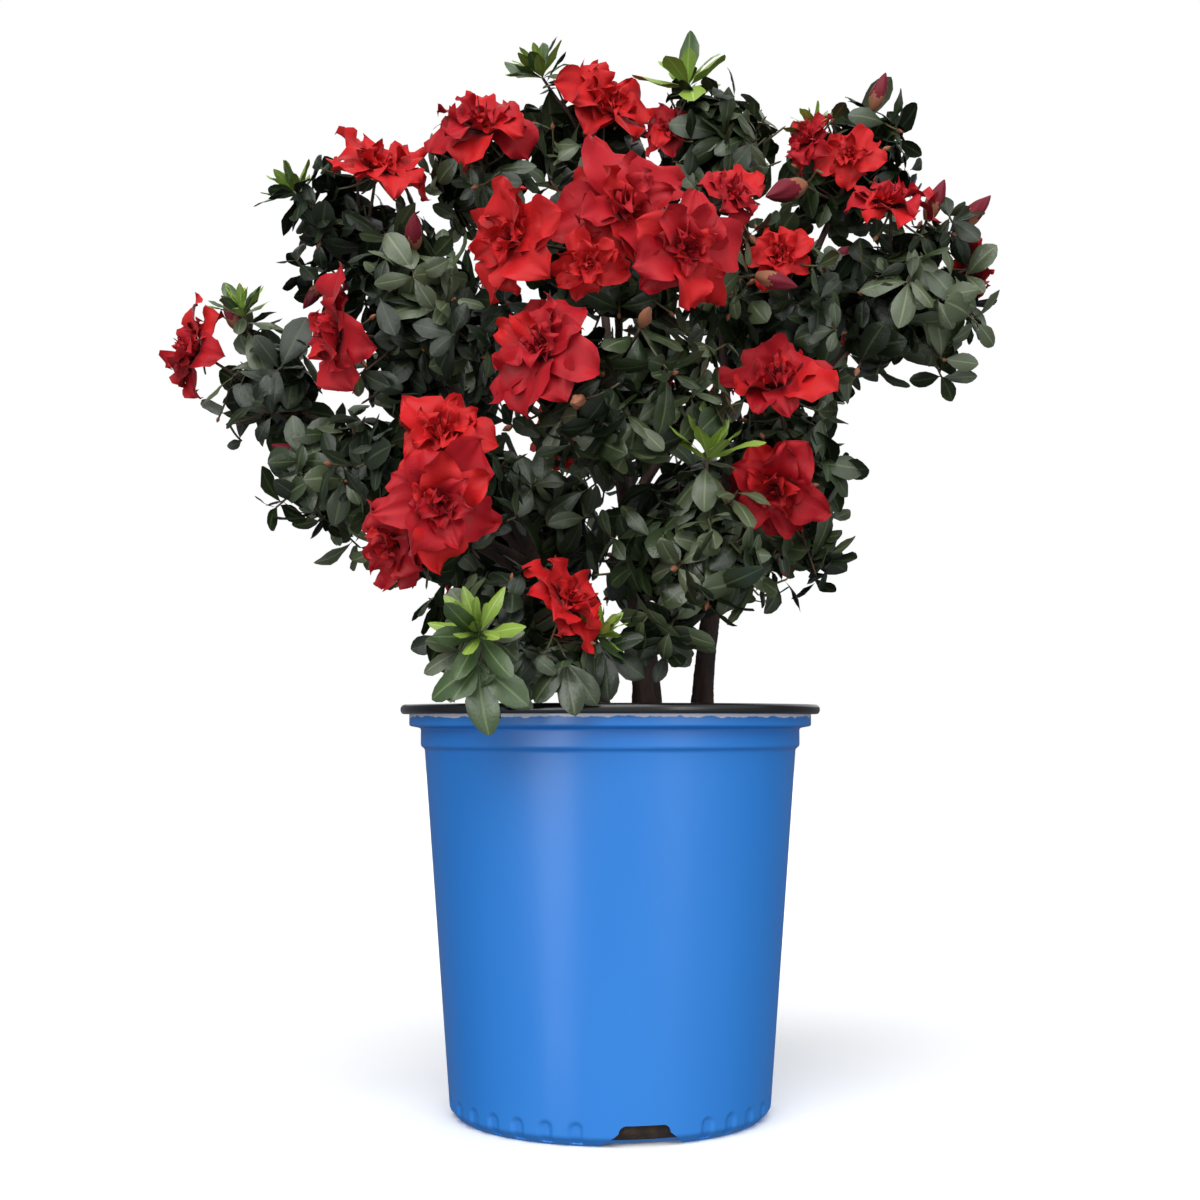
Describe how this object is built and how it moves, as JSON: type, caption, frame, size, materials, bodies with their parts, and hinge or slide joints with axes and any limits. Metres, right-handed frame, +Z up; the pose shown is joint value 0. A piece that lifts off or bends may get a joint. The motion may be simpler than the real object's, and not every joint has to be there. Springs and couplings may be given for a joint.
{
  "type": "flowering azalea shrub in nursery pot",
  "caption": "Bushy azalea shrub with double red blooms and small dark leaves on woody stems, growing in a tapered round nursery pot with a rolled rim and drain notches.",
  "frame": {"origin": "centre of the pot's flat underside, on the ground", "axes": "+Z up the pot's axis, -Y to the front of the plant, +X to the right seen from the front"},
  "size_m": [0.4672, 0.3499, 0.611],
  "materials": {
    "pot_plastic": "satin blue, moulded",
    "potting_mix": "moist bark and peat",
    "bark": "thin rough bark",
    "foliage": "leathery leaves with a soft sheen",
    "blossom": "thin matt petals"
  },
  "bodies": {
    "root": {"bough_back": "bark", "bough_back_left": "bark", "bough_back_low_left": "bark", "bough_back_low_right": "bark", "bough_back_right": "bark", "bough_back_top": "bark", "bough_far_left": "bark", "bough_front": "bark", "bough_front_left": "bark", "bough_front_top": "bark", "bough_left": "bark", "bough_low_front": "bark", "bough_low_left": "bark", "bough_low_right": "bark", "bough_mid_right": "bark", "bough_right": "bark", "bough_right_low": "bark", "bough_top": "bark", "bough_top_left": "bark", "bough_top_right": "bark", "bough_upper_left": "bark", "bough_upper_right": "bark", "foliage_back": "foliage", "foliage_back_left": "foliage", "foliage_back_low_left": "foliage", "foliage_back_low_right": "foliage", "foliage_back_right": "foliage", "foliage_back_top": "foliage", "foliage_far_left": "foliage", "foliage_front": "foliage", "foliage_front_left": "foliage", "foliage_front_top": "blossom", "foliage_left": "foliage", "foliage_low_front": "foliage", "foliage_low_left": "foliage", "foliage_low_right": "foliage", "foliage_mid_right": "foliage", "foliage_right": "foliage", "foliage_right_low": "foliage", "foliage_top": "foliage", "foliage_top_left": "foliage", "foliage_top_right": "foliage", "foliage_upper_left": "foliage", "foliage_upper_right": "foliage", "pot": "pot_plastic", "potting_mix": "potting_mix", "stem_back": "bark", "stem_centre": "bark", "stem_left": "bark", "stem_right": "bark"}
  },
  "joints": []
}
